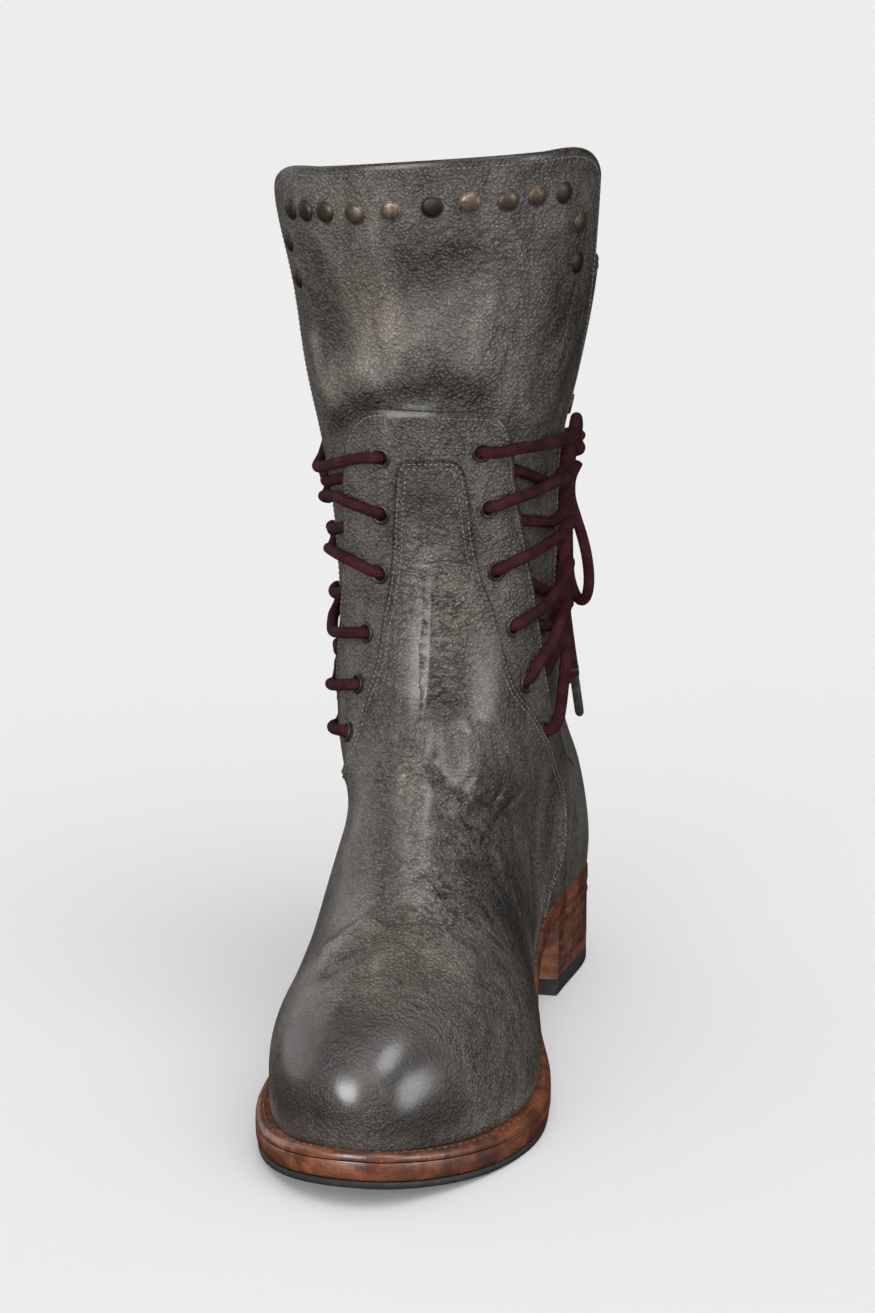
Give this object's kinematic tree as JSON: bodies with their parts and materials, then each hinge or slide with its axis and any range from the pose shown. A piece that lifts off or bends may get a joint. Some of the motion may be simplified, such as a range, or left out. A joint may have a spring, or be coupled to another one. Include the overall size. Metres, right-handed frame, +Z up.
{
  "type": "lace-up boot",
  "caption": "Mid-calf leather lace-up boot for the right foot, with a raised studded front bib, an eyeleted front tab laced at both sides, a welted sole and a stacked heel.",
  "frame": {"origin": "middle of the boot's box, on the floor", "axes": "+Z up, -Y towards the toe, +X towards the inner side of the foot"},
  "size_m": [0.1148, 0.2796, 0.325],
  "materials": {
    "upper_leather": "burnished, creased",
    "insole_leather": "smooth",
    "edge_leather": "waxed edge",
    "black_rubber": "matte",
    "aged_brass": "darkened",
    "lace_cord": "waxed cotton",
    "lace_tip": "wrapped"
  },
  "bodies": {
    "root": {"upper": "upper_leather", "facing": "upper_leather", "insole": "insole_leather", "welt": "edge_leather", "leather_sole": "edge_leather", "heel_stack": "edge_leather", "rubber_forepart": "black_rubber", "heel_top_lift": "black_rubber", "eyelet_inner_1": "aged_brass", "back_eyelet_inner_1": "aged_brass", "eyelet_inner_2": "aged_brass", "back_eyelet_inner_2": "aged_brass", "eyelet_inner_3": "aged_brass", "back_eyelet_inner_3": "aged_brass", "eyelet_inner_4": "aged_brass", "back_eyelet_inner_4": "aged_brass", "eyelet_inner_5": "aged_brass", "back_eyelet_inner_5": "aged_brass", "eyelet_inner_6": "aged_brass", "back_eyelet_inner_6": "aged_brass", "eyelet_outer_1": "aged_brass", "back_eyelet_outer_1": "aged_brass", "eyelet_outer_2": "aged_brass", "back_eyelet_outer_2": "aged_brass", "eyelet_outer_3": "aged_brass", "back_eyelet_outer_3": "aged_brass", "eyelet_outer_4": "aged_brass", "back_eyelet_outer_4": "aged_brass", "eyelet_outer_5": "aged_brass", "back_eyelet_outer_5": "aged_brass", "eyelet_outer_6": "aged_brass", "back_eyelet_outer_6": "aged_brass", "stud_1": "aged_brass", "stud_2": "aged_brass", "stud_3": "aged_brass", "stud_4": "aged_brass", "stud_5": "aged_brass", "stud_6": "aged_brass", "stud_7": "aged_brass", "stud_8": "aged_brass", "stud_9": "aged_brass", "stud_10": "aged_brass", "stud_11": "aged_brass", "stud_12": "aged_brass", "stud_13": "aged_brass", "stud_14": "aged_brass", "lace_inner": "lace_cord", "lace_outer": "lace_cord", "knot": "lace_cord", "loop_front": "lace_cord", "loop_back": "lace_cord", "end_front": "lace_cord", "end_back": "lace_cord", "aglet_front": "lace_tip", "aglet_back": "lace_tip"}
  },
  "joints": []
}
